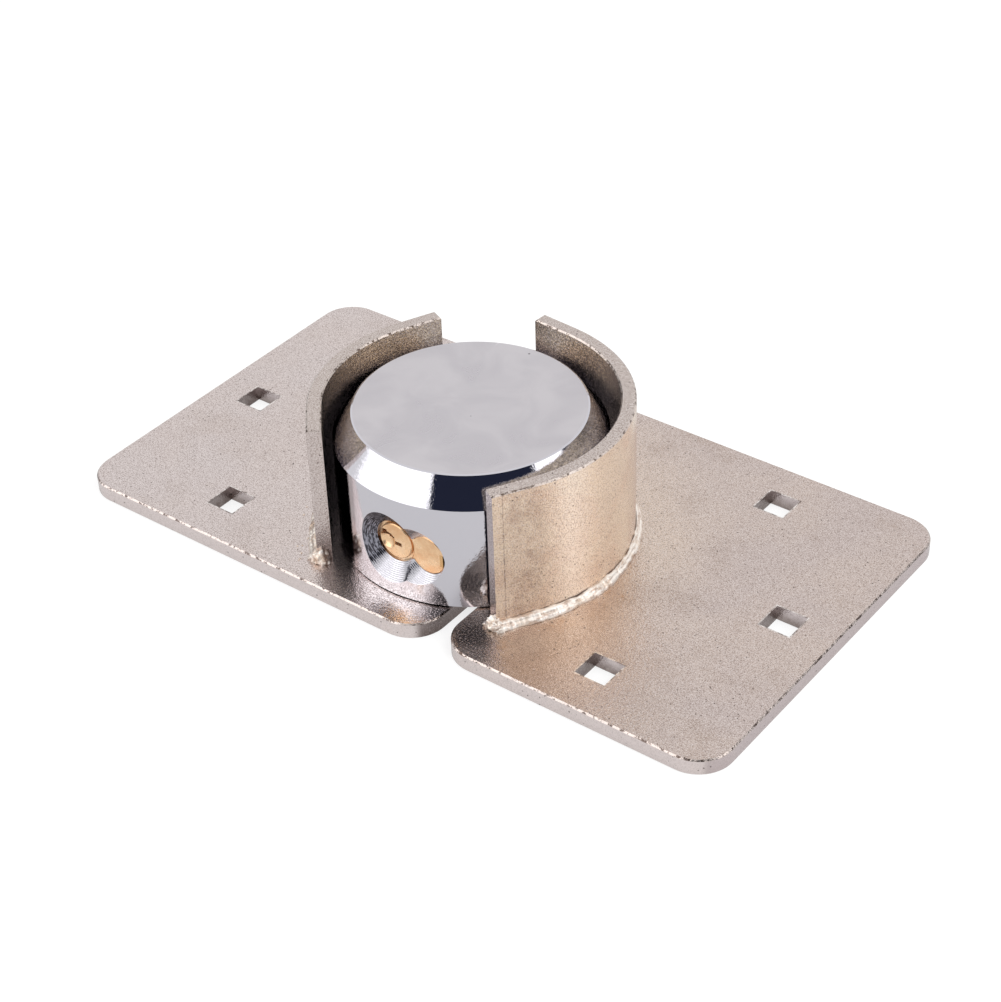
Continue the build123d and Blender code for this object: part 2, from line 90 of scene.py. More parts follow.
class Graph:
    """A short way to add nodes to one material or world and join them."""

    def __init__(self, tree):
        self.tree = tree
        self.tree.nodes.clear()

    def add(self, kind, sockets=None, **settings):
        node = self.tree.nodes.new(kind)
        for name, value in settings.items():
            setattr(node, name, value)
        for name, value in (sockets or {}).items():
            self.put(node, name, value)
        return node

    def put(self, node, name, value):
        socket = node.inputs[name]
        if isinstance(value, bpy.types.NodeSocket):
            self.tree.links.new(value, socket)
        else:
            socket.default_value = value

    def math(self, operation, first, second=0.0):
        return self.add("ShaderNodeMath", {0: first, 1: second}, operation=operation).outputs[0]

    def times(self, *factors):
        result = factors[0]
        for factor in factors[1:]:
            result = self.math("MULTIPLY", result, factor)
        return result

    def ramp(self, factor, low, high, to_low=0.0, to_high=1.0):
        sockets = {"Value": factor, "From Min": low, "From Max": high, "To Min": to_low, "To Max": to_high}
        node = self.add("ShaderNodeMapRange", sockets, interpolation_type="SMOOTHSTEP")
        return node.outputs["Result"]

    def near(self, value, middle, width):
        """1 where the value is at the middle, falling to 0 a width away."""
        away = self.math("ABSOLUTE", self.math("SUBTRACT", value, middle))
        return self.ramp(away, 0.0, width, 1.0, 0.0)

    def mix(self, factor, first, second):
        node = self.add("ShaderNodeMix", data_type="RGBA")
        self.put(node, 0, factor)
        self.put(node, 6, first)
        self.put(node, 7, second)
        return node.outputs[2]

    def noise(self, place, layer):
        sockets = {"Vector": place, "Scale": layer.scale, "Detail": layer.detail,
                   "Roughness": layer.roughness, "Distortion": layer.distortion}
        return self.add("ShaderNodeTexNoise", sockets).outputs["Fac"]

    def mask(self, place, layer):
        """0 to 1 as the layer's noise goes from its low limit to its high one."""
        return self.ramp(self.noise(place, layer), layer.low, layer.high)

    def cover(self, tone, layer, *masks):
        """The tone, with the layer's own tone mixed in where every mask is 1."""
        return self.mix(self.times(*masks, layer.share), tone, layer.tone)

    def spots(self, place, scale, low, high):
        """Scattered round spots: 1 in the middle of each, 0 away from them."""
        cells = self.add("ShaderNodeTexVoronoi", {"Vector": place, "Scale": scale})
        return self.ramp(cells.outputs["Distance"], low, high, 1.0, 0.0)

    def parts(self, vector):
        split = self.add("ShaderNodeSeparateXYZ", {"Vector": vector})
        return split.outputs["X"], split.outputs["Y"], split.outputs["Z"]

    def true_normal(self):
        return self.parts(self.add("ShaderNodeNewGeometry").outputs["True Normal"])

    def distance(self, first, second):
        """Length of the vector whose two parts are given."""
        squares = self.math("ADD", self.times(first, first), self.times(second, second))
        return self.math("SQRT", squares)


def colour(red, green, blue):
    """A linear colour from 0 to 255 display values."""
    linear = []
    for value in (red, green, blue):
        share = value / 255
        linear.append(share / 12.92 if share <= 0.04045 else ((share + 0.055) / 1.055) ** 2.4)
    return (*linear, 1.0)


def new_material(name, metallic=1.0):
    material = bpy.data.materials.new(name)
    material.use_nodes = True
    graph = Graph(material.node_tree)
    place = graph.add("ShaderNodeTexCoord").outputs["Object"]
    shader = graph.add("ShaderNodeBsdfPrincipled")
    shader.inputs["Metallic"].default_value = metallic
    output = graph.add("ShaderNodeOutputMaterial")
    graph.tree.links.new(shader.outputs[0], output.inputs["Surface"])
    return material, graph, place, shader


def bump(graph, height, distance, strength=1.0, normal=None):
    node = graph.add("ShaderNodeBump", {"Height": height, "Distance": distance, "Strength": strength})
    if normal is not None:
        graph.put(node, "Normal", normal)
    return node.outputs["Normal"]


def give(material, *names):
    for name in names:
        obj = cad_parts[name]
        obj.data.materials.clear()
        obj.data.materials.append(material)


# Materials

# One noise in a finish: its scale in waves a metre, its fineness, the limits between which it starts and
# fully shows, the tone that it gives, and how much of that tone is mixed in
LAYER_PARTS = "scale detail roughness low high tone share distortion"
Layer = namedtuple("Layer", LAYER_PARTS, defaults=(None, None, None, 1.0, 0.0))

# Limits that span most of a noise
NOISE_MIDDLE = (0.3, 0.7)

# Plated plate
GRAIN = Layer(3000.0, 1.0, 0.5, 0.44, 0.68, colour(120, 98, 88), 0.6)
FLECKS = Layer(3700.0, 1.0, 0.5, 0.48, 0.7, colour(250, 241, 238), 0.55)
PITTED = Layer(60.0, 3.0, 0.6, 0.34, 0.56, colour(66, 50, 46), 0.85)
PIT_SCALE = 520.0
PIT_RADII = (0.07, 0.14)
PIT_DEPTH = 0.6
WEAR = Layer(620.0, 3.0, 0.7, 0.4, 0.5, colour(206, 194, 188), 0.85)
WORN_DARK = colour(70, 54, 48)
EDGE_RISE = 0.7
EDGE_SPREAD = 0.2
SWELL = Layer(1300.0, 1.0, 0.5)
SWELL_SHARE = 0.8
PLATE_ROUGHNESS = (0.14, 0.24)
PLATE_RELIEF = 0.075 * MM


def plated_grain(graph, place, shader, tone, depth):
    """What all the plated plate shares: grain, flecks, pits, worn edges, and their relief."""
    normal_z = graph.true_normal()[2]
    grain = graph.noise(place, GRAIN)
    tone = graph.cover(tone, GRAIN, graph.ramp(grain, GRAIN.low, GRAIN.high), depth)
    tone = graph.cover(tone, FLECKS, graph.mask(place, FLECKS), depth)
    pit = graph.times(graph.spots(place, PIT_SCALE, *PIT_RADII), graph.mask(place, PITTED))
    tone = graph.cover(tone, PITTED, pit)
    edge = graph.near(graph.math("ABSOLUTE", normal_z), EDGE_RISE, EDGE_SPREAD)
    worn = graph.mix(graph.mask(place, WEAR), WORN_DARK, WEAR.tone)
    tone = graph.mix(graph.times(edge, WEAR.share), tone, worn)
    graph.put(shader, "Base Color", tone)
    graph.put(shader, "Roughness", graph.ramp(grain, *NOISE_MIDDLE, *PLATE_ROUGHNESS))
    swell = graph.times(graph.noise(place, SWELL), SWELL_SHARE)
    relief = graph.math("ADD", grain, swell)
    height = graph.math("SUBTRACT", relief, graph.times(pit, PIT_DEPTH))
    graph.put(shader, "Normal", bump(graph, height, PLATE_RELIEF))


# Patches on the leaves, in millimetres: where each lies, how far it reaches, and how strong it is
# The dark patches are painted shade and painted dark reflection on the leaves, in front of the lock and the
# right guard
PAINTED_SHADE_PATCHES = ((-20.0, -46.0, 9.0, 0.15), (16.5, -48.5, 9.0, 0.95), (27.5, -50.5, 11.0, 0.9),
         (33.0, -55.0, 7.0, 0.45), (72.0, -52.0, 26.0, 0.14))
STAINS = ((36.0, -49.0, 6.0, 0.35), (45.0, -16.0, 3.0, 0.5), (50.5, -15.5, 2.5, 0.5),
          (44.0, -33.0, 5.0, 0.35), (8.0, -55.5, 7.0, 0.32))
# The bright patches are painted highlights, standing for bright reflections on the leaves by the lock's foot
PAINTED_HIGHLIGHT_PATCHES = ((-1.0, -48.5, 11.0, 0.9), (6.0, -49.0, 9.0, 0.9), (9.0, -54.5, 7.0, 0.9), (40.0, -44.5, 10.0, 0.55))
PATCH_CORE = 0.15

# The square holes, which lie alike on both leaves and on both sides of the middle line
SQUARE_HOLE = 9.0 * MM
HOLE_PLACES = ((62.0 * MM, 42.0 * MM), (89.5 * MM, 0.0))
HOLE_RIM_PLACE = SQUARE_HOLE / 2 + 0.15 * MM
HOLE_RIM_WIDTH = 0.4 * MM
HOLE_RIM_SHARE = 0.85
# The painted shade and painted highlight along the holes' upper edges
RIM_PAINTED_SHADE = colour(72, 56, 50)
RIM_PAINTED_HIGHLIGHT = colour(255, 250, 246)

# The leaves' faces
HEAT_CLOUD = Layer(26.0, 4.0, 0.6)
HEAT_REACH = (46 * MM, 78 * MM)
HEAT_DRIFT = Layer(34.0, 3.0, 0.55, 0.35, 0.7, share=0.3, distortion=0.3)
HEAT_WANDER = 30 * MM
BLOTCHES = Layer(52.0, 4.0, 0.6, 0.5, 0.68, colour(166, 142, 124))
BLOTCH_LEAST = 0.1
BLOTCH_GROWTH = 0.3
STAIN = Layer(420.0, 3.0, 0.6, 0.4, 0.6, colour(206, 164, 122))
# The speckled tone of those patches of painted shade
PAINTED_SHADE_SPECKS = Layer(2300.0, 3.0, 0.7, 0.4, 0.49, colour(20, 17, 24))
# The painted highlights' tone, and the dark specks that break them up
PAINTED_HIGHLIGHT_TONE = colour(254, 245, 240)
HIGHLIGHT_SPECKS = Layer(1900.0, 2.0, 0.7, 0.48, 0.58, colour(104, 94, 90), 0.55)

# The leaves' rims and the walls of their holes, in painted light and shade
SIDE_RISE = (0.2, 0.5)
SIDE_SHARE = 0.85
RIM_DEPTH = (4 * MM, 2 * MM)
WALL_FOOT_SHADE = colour(150, 136, 132)
WALL_TOP_LIGHT = colour(226, 214, 214)
WALL_SHADED = colour(92, 78, 74)
WALL_SHADED_FACING = (0.3, 0.7)
WALL_SHADED_SHARE = 0.75
END_RIM_SHADE = colour(208, 195, 196)
LONG_RIM_LIGHT = colour(236, 225, 223)

# How far each of these hides the grain
SIDES_PLAIN = 0.75
PAINTED_SHADE_PLAIN = 0.85
PAINTED_HIGHLIGHT_PLAIN = 0.3


def patches(graph, x, y, places):
    """Soft-edged patches on the leaf's face, the strongest one wherever they meet."""
    result = 0.0
    for middle_x, middle_y, reach, strength in places:
        across = graph.math("SUBTRACT", x, middle_x * MM)
        along = graph.math("SUBTRACT", y, middle_y * MM)
        away = graph.distance(across, along)
        patch = graph.ramp(away, PATCH_CORE * reach * MM, reach * MM, strength, 0.0)
        result = graph.math("MAXIMUM", patch, result)
    return result


def hole_rims(graph, x, y):
    """1 along the upper edge of each square hole, where painted highlight and painted shade go."""
    from_middle_x, from_middle_y = graph.math("ABSOLUTE", x), graph.math("ABSOLUTE", y)
    result = 0.0
    for hole_x, hole_y in HOLE_PLACES:
        across = graph.math("ABSOLUTE", graph.math("SUBTRACT", from_middle_x, hole_x))
        along = graph.math("ABSOLUTE", graph.math("SUBTRACT", from_middle_y, hole_y))
        away = graph.math("MAXIMUM", across, along)
        result = graph.math("MAXIMUM", graph.near(away, HOLE_RIM_PLACE, HOLE_RIM_WIDTH), result)
    return result


def leaf_walls(graph, x, y, z, normal):
    """The leaf's rims and its holes' walls, in painted shade: darker at the foot and where a wall faces
    right, and lighter on the long rims than on the ends.
    """
    rim_x = graph.ramp(graph.math("ABSOLUTE", x), leaf_reach.x - RIM_DEPTH[0], leaf_reach.x - RIM_DEPTH[1])
    rim_y = graph.ramp(graph.math("ABSOLUTE", y), leaf_reach.y - RIM_DEPTH[0], leaf_reach.y - RIM_DEPTH[1])
    walls = graph.mix(graph.ramp(z, 0.0, leaf_top), WALL_FOOT_SHADE, WALL_TOP_LIGHT)
    shaded = graph.ramp(normal[0], *WALL_SHADED_FACING, 0.0, WALL_SHADED_SHARE)
    walls = graph.mix(shaded, walls, WALL_SHADED)
    walls = graph.mix(rim_x, walls, END_RIM_SHADE)
    return graph.mix(rim_y, walls, LONG_RIM_LIGHT)


def leaf_plate(name, tint, warm_tint, warm_share):
    """Nickel over hot-rolled plate, tinted by the heat of the weld round the guard's foot, with painted shade
    and painted highlights in patches, along the holes' edges and on its walls.
    """
    material, graph, place, shader = new_material(name)
    x, y, z = graph.parts(place)
    from_lock = graph.distance(x, graph.math("SUBTRACT", y, lock_middle.y))
    cloud = graph.noise(place, HEAT_CLOUD)
    reach = graph.math("ADD", from_lock, graph.times(graph.math("SUBTRACT", cloud, 0.5), HEAT_WANDER))
    heat = graph.times(graph.ramp(reach, *HEAT_REACH, 1.0, 0.0), warm_share)
    tone = graph.mix(heat, tint, warm_tint)
    drift = graph.times(graph.mask(place, HEAT_DRIFT), HEAT_DRIFT.share)
    tone = graph.mix(drift, tone, warm_tint)
    blotch = graph.times(graph.mask(place, BLOTCHES), BLOTCH_GROWTH * warm_share + BLOTCH_LEAST)
    tone = graph.mix(blotch, tone, BLOTCHES.tone)
    # Painted highlight: bright patches by the lock's foot, broken up by dark specks
    painted_highlight = patches(graph, x, y, PAINTED_HIGHLIGHT_PATCHES)
    tone = graph.mix(painted_highlight, tone, PAINTED_HIGHLIGHT_TONE)
    tone = graph.cover(tone, HIGHLIGHT_SPECKS, painted_highlight, graph.mask(place, HIGHLIGHT_SPECKS))
    uneven = graph.mask(place, STAIN)
    tone = graph.mix(graph.times(patches(graph, x, y, STAINS), uneven), tone, STAIN.tone)
    # Painted shade: dark, speckled patches that stand for shade and dark reflections in front of the lock and
    # the right guard
    painted_shade = graph.times(patches(graph, x, y, PAINTED_SHADE_PATCHES), graph.mask(place, PAINTED_SHADE_SPECKS))
    tone = graph.mix(painted_shade, tone, PAINTED_SHADE_SPECKS.tone)
    # Painted highlight and painted shade along the holes' upper edges, bright or dark by the stain noise
    rim_light_and_shade = graph.mix(uneven, RIM_PAINTED_SHADE, RIM_PAINTED_HIGHLIGHT)
    tone = graph.mix(graph.times(hole_rims(graph, x, y), HOLE_RIM_SHARE), tone, rim_light_and_shade)
    normal = graph.true_normal()
    sides = graph.ramp(graph.math("ABSOLUTE", normal[2]), *SIDE_RISE, 1.0, 0.0)
    walls = leaf_walls(graph, x, y, z, normal)
    # Painted light and shade on the rims and the hole walls
    tone = graph.mix(graph.times(sides, SIDE_SHARE), tone, walls)
    hidden = graph.math("MAXIMUM", graph.times(sides, SIDES_PLAIN), graph.times(painted_shade, PAINTED_SHADE_PLAIN))
    hidden = graph.math("MAXIMUM", hidden, graph.times(painted_highlight, PAINTED_HIGHLIGHT_PLAIN))
    plated_grain(graph, place, shader, tone, graph.math("SUBTRACT", 1.0, hidden))
    return material


# The guards' outer faces, with stretches along the right one given as turns about the lock
OUTER_TONE = colour(255, 234, 208)
OUTER_CLOUD = Layer(62.0, 4.0, 0.6, 0.35, 0.68, colour(240, 210, 184), distortion=0.4)
OUTER_METALLIC = 0.58
GUARD_STAIN = Layer(170.0, 6.0, 0.75, 0.42, 0.62, colour(158, 118, 94), 0.5, 0.3)
FRONT_TURN = math.radians(-35)
# A painted sheen: a bright stretch on the right guard's outer face
SHEEN_TURN = math.radians(-17)
STRETCH_REACH = math.radians(12)
SHEEN_SHARE = 0.6
SHEEN_TONE = colour(255, 244, 228)
FAR_START = (math.radians(14), math.radians(36))
FAR_END = (math.radians(100), math.radians(110))
FAR_SHARE = 0.5
FAR_TONE = colour(206, 180, 168)
CRACKS = Layer(130.0, 3.0, 0.55, 0.44, 0.52, colour(74, 50, 38), 0.85)
CRACK_HEIGHT = 1.7 * MM
CRACK_REACH = 0.8 * MM
SEAM_PLACE = 2.7 * MM
SEAM_REACH = 0.3 * MM
SEAM_STRENGTH = (0.3, 0.8)
SEAM_TONE = colour(104, 78, 66)

# Their inner faces, with painted shade below
INNER_TONE = colour(244, 226, 198)
INNER_SHADE_TONE = colour(100, 97, 110)
INNER_SHADE_EDGE = (-2 * MM, 4.5 * MM)
INNER_SHADE_WAVE = Layer(420.0, 3.0, 0.7)
INNER_SHADE_WAVE_HEIGHT = 4 * MM
INNER_SHADE_GRAIN = Layer(2300.0, 2.0, 0.7)
INNER_SHADE_GRAIN_HEIGHT = 14 * MM
GUARD_GRIT = Layer(1900.0, 2.0, 0.7, 0.42, 0.55, colour(62, 56, 56))
GRIT_TURNOVER = 10 * MM
GRIT_SHARES = (0.5, 0.75)
# Painted shade inside the right guard's front end
END_SHADE_RANGE = (-11 * MM, 4 * MM)
END_SHADE_START = (20 * MM, 26 * MM)
END_SHADE_SHARE = 0.9
END_SHADE_TONE = colour(30, 30, 42)

# Where each face of a guard starts, by the outward and upward parts of the normal
OUTSIDE_FACING = (0.2, 0.7)
INSIDE_FACING = (-0.7, -0.4)
LEVEL_RISE = (0.75, 0.9)
END_FACE_TONE = colour(212, 200, 197)
# The top faces' tone is painted shade, greyer than the rest
TOP_PAINTED_SHADE = colour(202, 190, 184)
CORNER_FACING = 0.62
CORNER_REACH = 0.3
CORNER_STRENGTH = (0.5, 1.0)
LIP_RISE = 0.7
LIP_REACH = 0.25
LIP_FACING = (0.25, 0.4)
LINE_SHARE = 0.8
LINE_TONE = colour(84, 66, 62)

# The grain's share, and how deep the inner face's painted shade is where it has the same share
GUARD_GRAIN = 0.85
EVEN_GRAIN_SHADE = 0.35


def guard_outside(graph, place, turn, past, z, stain):
    """The outer face: warm nickel, with a brown stretch, a painted sheen, a dull stretch, a crack and a seam.
    """
    tone = graph.mix(graph.mask(place, OUTER_CLOUD), OUTER_TONE, OUTER_CLOUD.tone)
    tone = graph.cover(tone, GUARD_STAIN, graph.near(turn, FRONT_TURN, STRETCH_REACH), stain)
    # Painted sheen: a pale stretch on the right guard's outer face
    sheen = graph.near(turn, SHEEN_TURN, STRETCH_REACH)
    tone = graph.mix(graph.times(sheen, SHEEN_SHARE), tone, SHEEN_TONE)
    far = graph.times(graph.ramp(turn, *FAR_START), graph.ramp(turn, *FAR_END, 1.0, 0.0))
    tone = graph.mix(graph.times(far, FAR_SHARE), tone, FAR_TONE)
    # A dark crack above the thin stretches of the bead, broken here and there
    crack = graph.near(z, leaf_top + CRACK_HEIGHT, CRACK_REACH)
    tone = graph.cover(tone, CRACKS, crack, graph.mask(place, CRACKS))
    # A fine dark seam near the right guard's front end, and also near the left guard's back end
    seam = graph.near(past, SEAM_PLACE - GUARD_END_STRAIGHT, SEAM_REACH)
    return graph.mix(graph.times(seam, graph.ramp(stain, 0.0, 1.0, *SEAM_STRENGTH)), tone, SEAM_TONE)


def guard_inside(graph, place, past, x, z):
    """The inner face: painted shade that thins out upwards, and grit. Gives the shade's share too."""
    # Painted shade: dark low down, thinning out upwards to a light band under the top
    wave = graph.noise(place, INNER_SHADE_WAVE)
    under_top = graph.math("ADD", z, graph.times(wave, INNER_SHADE_WAVE_HEIGHT))
    fine = graph.noise(place, INNER_SHADE_GRAIN)
    under_top = graph.math("ADD", under_top, graph.times(fine, INNER_SHADE_GRAIN_HEIGHT))
    inner_shade = graph.ramp(under_top, guard_top + INNER_SHADE_EDGE[0], guard_top + INNER_SHADE_EDGE[1], 1.0, 0.0)
    tone = graph.mix(inner_shade, INNER_TONE, INNER_SHADE_TONE)
    # The grit is denser on the right guard
    grit = graph.ramp(x, -GRIT_TURNOVER, GRIT_TURNOVER, *GRIT_SHARES)
    tone = graph.mix(graph.times(graph.mask(place, GUARD_GRIT), grit), tone, GUARD_GRIT.tone)
    # Painted shade: the right guard's front end is nearly black inside
    near_end = graph.ramp(past, *END_SHADE_RANGE, 1.0, 0.0)
    end = graph.times(near_end, graph.ramp(x, *END_SHADE_START), END_SHADE_SHARE)
    return graph.mix(end, tone, END_SHADE_TONE), inner_shade


def guard_plate():
    """The bent strips: bright and warm outside, darkened inside and greyed along the sawn top by painted
    shade.
    """
    material, graph, place, shader = new_material("guard_plate")
    x, y, z = graph.parts(place)
    normal = graph.true_normal()
    along_y = graph.math("SUBTRACT", y, lock_middle.y)
    radial = graph.math("ADD", graph.times(normal[0], x), graph.times(normal[1], along_y))
    outward = graph.math("DIVIDE", radial, graph.distance(x, along_y))
    turn = graph.math("ARCTAN2", along_y, x)
    # How far a place lies past the start of the right guard's arc, along its straight front end
    lie = math.radians(RIGHT_GUARD_ANGLES[0])
    past = graph.math("SUBTRACT", graph.times(along_y, math.cos(lie)), graph.times(x, math.sin(lie)))
    stain = graph.mask(place, GUARD_STAIN)
    outer = guard_outside(graph, place, turn, past, z, stain)
    inner, inner_shade = guard_inside(graph, place, past, x, z)
    outside = graph.ramp(outward, *OUTSIDE_FACING)
    inside = graph.ramp(outward, *INSIDE_FACING, 1.0, 0.0)
    level = graph.ramp(normal[2], *LEVEL_RISE)
    tone = graph.mix(outside, END_FACE_TONE, outer)
    tone = graph.mix(inside, tone, inner)
    # Painted shade on the top faces
    tone = graph.mix(level, tone, TOP_PAINTED_SHADE)
    # A dark line down each upright corner and across each end of the top
    facing = graph.math("ABSOLUTE", outward)
    corner = graph.times(graph.near(facing, CORNER_FACING, CORNER_REACH),
                         graph.ramp(stain, 0.0, 1.0, *CORNER_STRENGTH))
    lip = graph.times(graph.near(normal[2], LIP_RISE, LIP_REACH), graph.ramp(facing, *LIP_FACING, 1.0, 0.0))
    tone = graph.mix(graph.times(graph.math("MAXIMUM", corner, lip), LINE_SHARE), tone, LINE_TONE)
    # The outer face scatters more light than the rest
    outer_only = graph.math("SUBTRACT", outside, level)
    graph.put(shader, "Metallic", graph.ramp(outer_only, 0.0, 1.0, 1.0, OUTER_METALLIC))
    hidden = graph.times(inside, graph.math("SUBTRACT", inner_shade, EVEN_GRAIN_SHADE))
    plated_grain(graph, place, shader, tone, graph.math("SUBTRACT", GUARD_GRAIN, hidden))
    return material


# The beads' metal
BEAD_METALLIC = 0.7
BEAD_ROUGHNESS = 0.3
BEAD_STRETCH = 0.3
BEAD_STREAKS = Layer(900.0, 4.0, 0.65, 0.34, 0.56, colour(252, 244, 236))
BEAD_DULL = colour(198, 174, 158)
BEAD_SPOTS = Layer(240.0, 3.0, 0.6, 0.5, 0.64, colour(214, 186, 160), 0.45)
BEAD_HOLLOWS = (0.4, 0.47)
BEAD_HOLLOW_SHARE = 0.85
BEAD_HOLLOW_TONE = colour(84, 62, 50)
BEAD_CRACKS = Layer(300.0, 2.0, 0.6, 0.45, 0.52, colour(84, 54, 38), 0.85)
BEAD_CRACK_REACH = (0.1 * MM, 0.5 * MM)
BEAD_RELIEF = 0.12 * MM


def weld_metal(name, gap):
    """Bright bead metal, streaked along its length, darker in its hollows, and with dark cracks beside the
    guard.
    """
    material, graph, place, shader = new_material(name, BEAD_METALLIC)
    x, y, z = graph.parts(place)
    along_y = graph.math("SUBTRACT", y, lock_middle.y)
    from_axis = graph.distance(x, along_y)
    turn = graph.math("ARCTAN2", along_y, graph.math("ABSOLUTE", x))
    foot = lock_radius + gap + GUARD_THICKNESS
    sockets = {"X": graph.times(turn, foot * BEAD_STRETCH), "Y": from_axis, "Z": z}
    unrolled = graph.add("ShaderNodeCombineXYZ", sockets).outputs[0]
    streak = graph.noise(unrolled, BEAD_STREAKS)
    bright = graph.ramp(streak, BEAD_STREAKS.low, BEAD_STREAKS.high)
    tone = graph.mix(bright, BEAD_DULL, BEAD_STREAKS.tone)
    tone = graph.cover(tone, BEAD_SPOTS, graph.mask(place, BEAD_SPOTS))
    hollow = graph.add("ShaderNodeNewGeometry").outputs["Pointiness"]
    tone = graph.mix(graph.ramp(hollow, *BEAD_HOLLOWS, BEAD_HOLLOW_SHARE, 0.0), tone, BEAD_HOLLOW_TONE)
    joint = graph.ramp(from_axis, foot + BEAD_CRACK_REACH[0], foot + BEAD_CRACK_REACH[1], 1.0, 0.0)
    tone = graph.cover(tone, BEAD_CRACKS, joint, graph.mask(unrolled, BEAD_CRACKS))
    graph.put(shader, "Base Color", tone)
    shader.inputs["Roughness"].default_value = BEAD_ROUGHNESS
    graph.put(shader, "Normal", bump(graph, streak, BEAD_RELIEF))
    return material


# The lock's chrome and its satin top, with the turn of its scratches in radians
CHROME_TONE = colour(213, 211, 218)
TOP_RISE = (0.97, 0.995)
TOP_DEPTH = (0.4 * MM, 0.1 * MM)
TOP_MOTTLE = Layer(70.0, 3.0, 0.5, *NOISE_MIDDLE, colour(211, 207, 211), distortion=0.8)
TOP_DULL = colour(200, 196, 201)
TOP_ROUGHNESS = (0.24, 0.32)
SCRATCH_TURN = 0.62
SCRATCH_STRETCH = 0.05
SCRATCHES = Layer(700.0, 2.0, 0.7, 0.7, 0.76, colour(244, 242, 244), 0.35)
SCRATCH_FIELD = Layer(48.0, 2.0, 0.5, 0.52, 0.6)
SCRATCH_RELIEF = 0.02 * MM
SCRATCH_SHARPNESS = 0.5
PINHOLE_SCALE = 90.0
PINHOLE_RADII = (0.02, 0.035)
PINHOLE_SHARE = 0.7
PINHOLE_TONE = colour(60, 56, 58)
SIDE_ROUGHNESS = 0.03
WAVE = Layer(560.0, 4.0, 0.7)
WAVE_RELIEF = 0.04 * MM
WAVE_SHARPNESS = 0.8

# The key recess
RECESS_REACH = (11 * MM, 12 * MM)
RECESS_DEPTH = 13 * MM
RECESS_SKIN = (0.12 * MM, 0.04 * MM)
RECESS_ROUGHNESS = 0.05
# Painted dark reflections in the recess: streaks along the rings, and a ragged streak where the lobes meet
RECESS_REFLECTION_STREAKS = Layer(2600.0, 3.0, 0.7, 0.44, 0.56, colour(150, 150, 162), 0.92)
RECESS_REFLECTION_LENGTH = 1.4 * MM
RECESS_REFLECTION_DARK = colour(24, 24, 34)
RECESS_REFLECTION_START = (-2.6 * MM, -0.6 * MM)
WAIST = Layer(900.0, 3.0, 0.55)
WAIST_WANDER = 2 * MM
WAIST_START = (-6 * MM, -4 * MM)
WAIST_PLACE = 1 * MM
WAIST_REACH = 1.2 * MM
WAIST_REFLECTION_TONE = colour(40, 40, 52)
MARK_PITCH = 0.42 * MM
MARK_WOBBLE = Layer(900.0, 2.0, 0.6)
MARK_WOBBLE_SHARE = 3.0
MARK_RELIEF = 0.03 * MM
MARK_SHARPNESS = 0.9


def chrome_top(graph, place, top):
    """The chrome's tone, satin and scratched on top. Gives the scratches and the mottle too."""
    mottle = graph.noise(place, TOP_MOTTLE)
    satin = graph.mix(graph.ramp(mottle, TOP_MOTTLE.low, TOP_MOTTLE.high), TOP_DULL, TOP_MOTTLE.tone)
    sockets = {"Vector": place, "Rotation": (0, 0, SCRATCH_TURN), "Scale": (1, SCRATCH_STRETCH, 1)}
    stretched = graph.add("ShaderNodeMapping", sockets).outputs[0]
    scratch = graph.times(top, graph.mask(stretched, SCRATCHES), graph.mask(place, SCRATCH_FIELD))
    pinhole = graph.times(top, graph.spots(place, PINHOLE_SCALE, *PINHOLE_RADII))
    tone = graph.mix(top, CHROME_TONE, satin)
    tone = graph.cover(tone, SCRATCHES, scratch)
    return graph.mix(graph.times(pinhole, PINHOLE_SHARE), tone, PINHOLE_TONE), scratch, mottle


